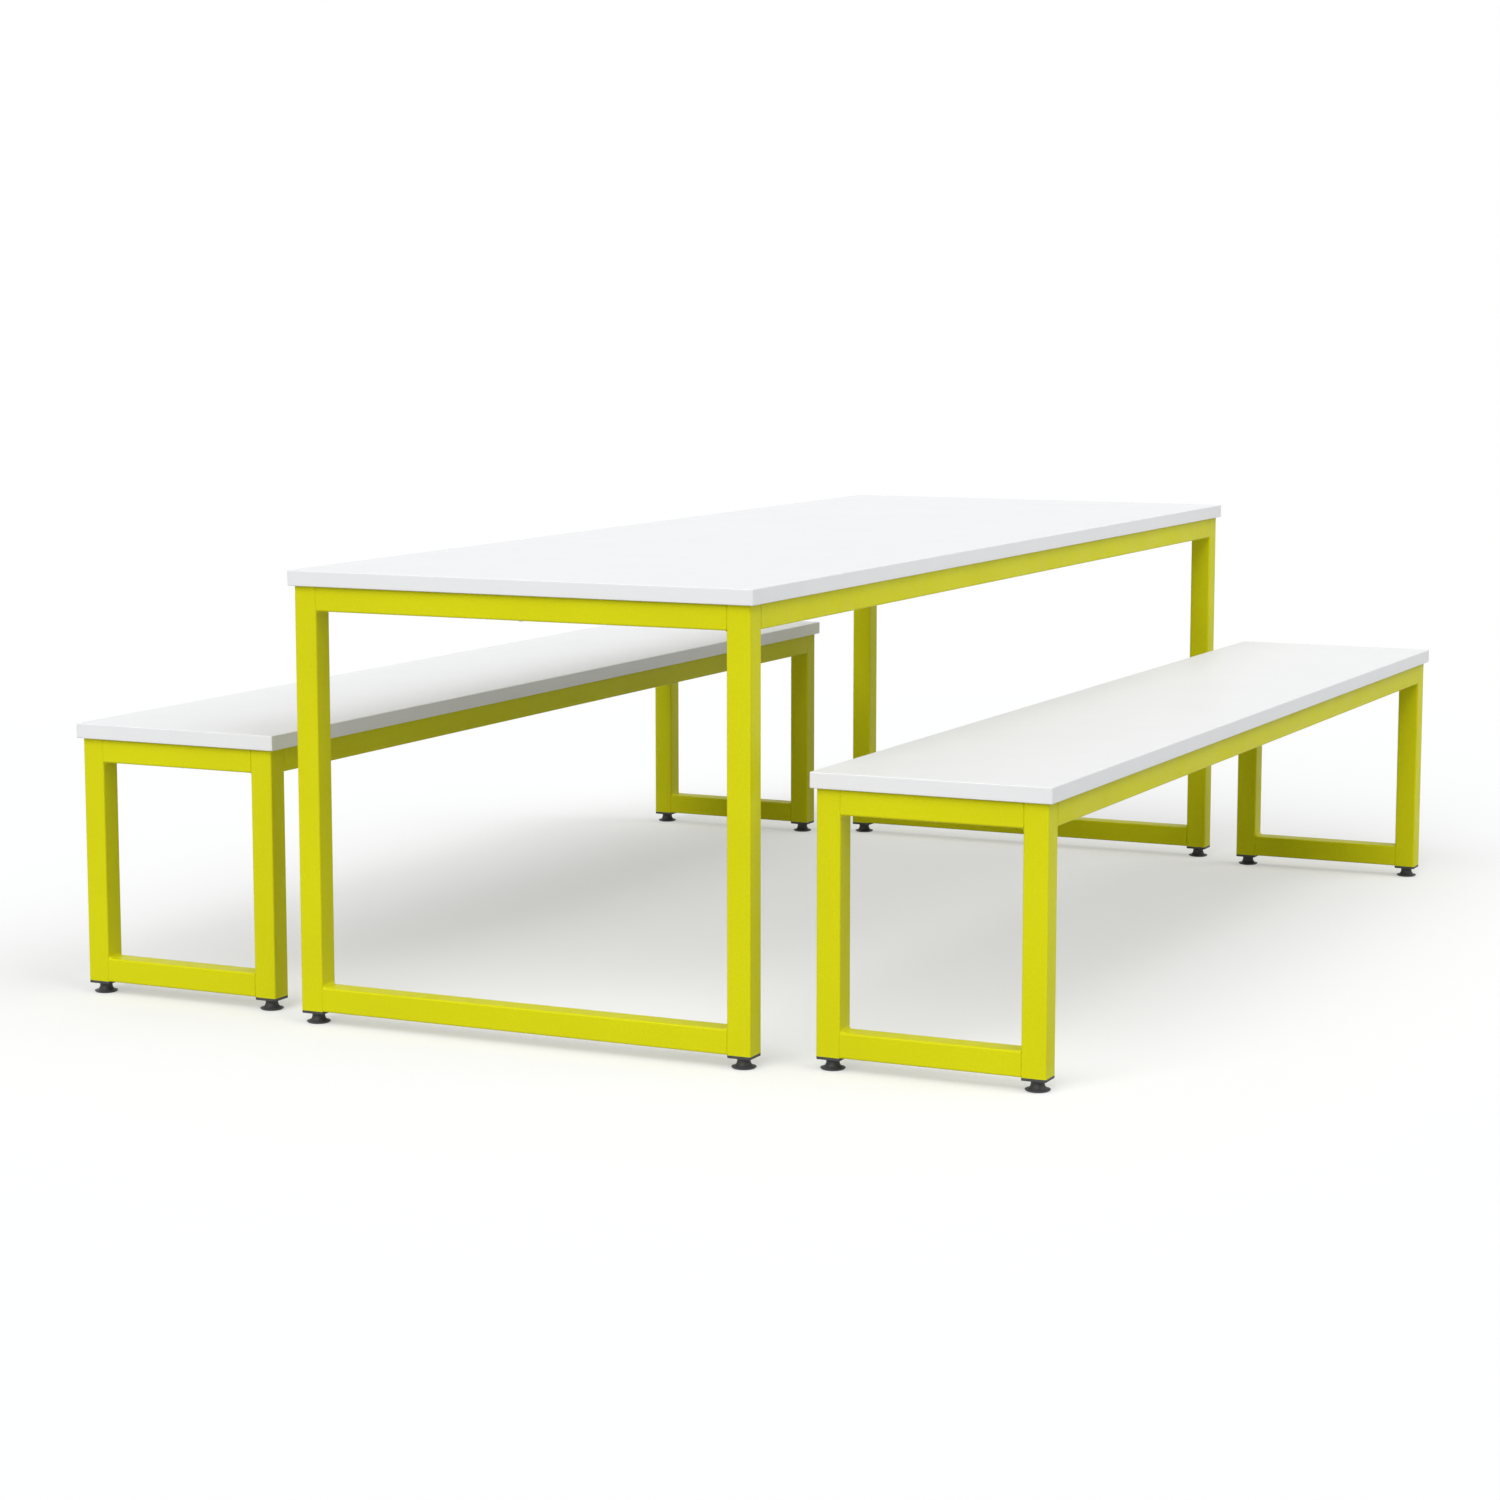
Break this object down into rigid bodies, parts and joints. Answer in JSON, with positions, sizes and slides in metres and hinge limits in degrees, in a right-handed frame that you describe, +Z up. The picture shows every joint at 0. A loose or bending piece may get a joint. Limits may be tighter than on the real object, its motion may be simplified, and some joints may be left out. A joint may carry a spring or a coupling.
{
  "type": "dining table with benches",
  "caption": "Long canteen table with loose benches: square-tube loop frames, board top and seats, screw-in levelling feet; the benches slide under the table.",
  "frame": {"origin": "on the floor, in the middle of the set, under the middle of the table", "axes": "+X along the length towards the far end, +Y towards the left bench, +Z up"},
  "size_m": [2.266, 1.748, 0.74],
  "materials": {
    "yellow_paint": "lime yellow powder coat, satin, with a fine orange-peel texture",
    "white_board": "particle board faced with white melamine, matt with a fine pearl grain",
    "white_edging": "white plastic edging, satin",
    "black_plastic": "moulded black plastic, satin",
    "zinc_steel": "zinc-plated steel"
  },
  "bodies": {
    "table": {"table_top_panel": "white_board", "table_edge_strips": "white_edging", "table_fixing_screws": "zinc_steel", "table_leg_plugs": "black_plastic", "table_plug_nuts": "zinc_steel", "table_welds": "yellow_paint", "table_top_end_rail_near": "yellow_paint", "table_bottom_end_rail_near": "yellow_paint", "table_leg_near_right": "yellow_paint", "table_leg_near_left": "yellow_paint", "table_top_end_rail_far": "yellow_paint", "table_bottom_end_rail_far": "yellow_paint", "table_leg_far_right": "yellow_paint", "table_leg_far_left": "yellow_paint", "table_side_rail_right": "yellow_paint", "table_side_rail_left": "yellow_paint"},
    "table_foot_near_right": {"table_foot_near_right": "black_plastic"},
    "table_foot_near_left": {"table_foot_near_left": "black_plastic"},
    "table_foot_far_right": {"table_foot_far_right": "black_plastic"},
    "table_foot_far_left": {"table_foot_far_left": "black_plastic"},
    "left_bench": {"left_bench_seat_panel": "white_board", "left_bench_edge_strips": "white_edging", "left_bench_fixing_screws": "zinc_steel", "left_bench_leg_plugs": "black_plastic", "left_bench_plug_nuts": "zinc_steel", "left_bench_welds": "yellow_paint", "left_bench_top_end_rail_near": "yellow_paint", "left_bench_bottom_end_rail_near": "yellow_paint", "left_bench_leg_near_right": "yellow_paint", "left_bench_leg_near_left": "yellow_paint", "left_bench_top_end_rail_far": "yellow_paint", "left_bench_bottom_end_rail_far": "yellow_paint", "left_bench_leg_far_right": "yellow_paint", "left_bench_leg_far_left": "yellow_paint", "left_bench_side_rail_right": "yellow_paint", "left_bench_side_rail_left": "yellow_paint"},
    "left_bench_foot_near_right": {"left_bench_foot_near_right": "black_plastic"},
    "left_bench_foot_near_left": {"left_bench_foot_near_left": "black_plastic"},
    "left_bench_foot_far_right": {"left_bench_foot_far_right": "black_plastic"},
    "left_bench_foot_far_left": {"left_bench_foot_far_left": "black_plastic"},
    "right_bench": {"right_bench_seat_panel": "white_board", "right_bench_edge_strips": "white_edging", "right_bench_fixing_screws": "zinc_steel", "right_bench_leg_plugs": "black_plastic", "right_bench_plug_nuts": "zinc_steel", "right_bench_welds": "yellow_paint", "right_bench_top_end_rail_near": "yellow_paint", "right_bench_bottom_end_rail_near": "yellow_paint", "right_bench_leg_near_right": "yellow_paint", "right_bench_leg_near_left": "yellow_paint", "right_bench_top_end_rail_far": "yellow_paint", "right_bench_bottom_end_rail_far": "yellow_paint", "right_bench_leg_far_right": "yellow_paint", "right_bench_leg_far_left": "yellow_paint", "right_bench_side_rail_right": "yellow_paint", "right_bench_side_rail_left": "yellow_paint"},
    "right_bench_foot_near_right": {"right_bench_foot_near_right": "black_plastic"},
    "right_bench_foot_near_left": {"right_bench_foot_near_left": "black_plastic"},
    "right_bench_foot_far_right": {"right_bench_foot_far_right": "black_plastic"},
    "right_bench_foot_far_left": {"right_bench_foot_far_left": "black_plastic"}
  },
  "joints": [
    {"name": "left_bench_slide", "type": "slide", "parent": "table", "child": "left_bench", "axis": [0, 1, 0], "range_m": [-0.461, 0.3]},
    {"name": "right_bench_slide", "type": "slide", "parent": "table", "child": "right_bench", "axis": [0, -1, 0], "range_m": [-0.461, 0.3]},
    {"name": "table_foot_near_right_screw", "type": "slide", "parent": "table", "child": "table_foot_near_right", "axis": [0, 0, 1], "range_m": [-0.015, 0]},
    {"name": "table_foot_near_left_screw", "type": "slide", "parent": "table", "child": "table_foot_near_left", "axis": [0, 0, 1], "range_m": [-0.015, 0]},
    {"name": "table_foot_far_right_screw", "type": "slide", "parent": "table", "child": "table_foot_far_right", "axis": [0, 0, 1], "range_m": [-0.015, 0]},
    {"name": "table_foot_far_left_screw", "type": "slide", "parent": "table", "child": "table_foot_far_left", "axis": [0, 0, 1], "range_m": [-0.015, 0]},
    {"name": "left_bench_foot_near_right_screw", "type": "slide", "parent": "left_bench", "child": "left_bench_foot_near_right", "axis": [0, 0, 1], "range_m": [-0.015, 0]},
    {"name": "left_bench_foot_near_left_screw", "type": "slide", "parent": "left_bench", "child": "left_bench_foot_near_left", "axis": [0, 0, 1], "range_m": [-0.015, 0]},
    {"name": "left_bench_foot_far_right_screw", "type": "slide", "parent": "left_bench", "child": "left_bench_foot_far_right", "axis": [0, 0, 1], "range_m": [-0.015, 0]},
    {"name": "left_bench_foot_far_left_screw", "type": "slide", "parent": "left_bench", "child": "left_bench_foot_far_left", "axis": [0, 0, 1], "range_m": [-0.015, 0]},
    {"name": "right_bench_foot_near_right_screw", "type": "slide", "parent": "right_bench", "child": "right_bench_foot_near_right", "axis": [0, 0, 1], "range_m": [-0.015, 0]},
    {"name": "right_bench_foot_near_left_screw", "type": "slide", "parent": "right_bench", "child": "right_bench_foot_near_left", "axis": [0, 0, 1], "range_m": [-0.015, 0]},
    {"name": "right_bench_foot_far_right_screw", "type": "slide", "parent": "right_bench", "child": "right_bench_foot_far_right", "axis": [0, 0, 1], "range_m": [-0.015, 0]},
    {"name": "right_bench_foot_far_left_screw", "type": "slide", "parent": "right_bench", "child": "right_bench_foot_far_left", "axis": [0, 0, 1], "range_m": [-0.015, 0]}
  ]
}
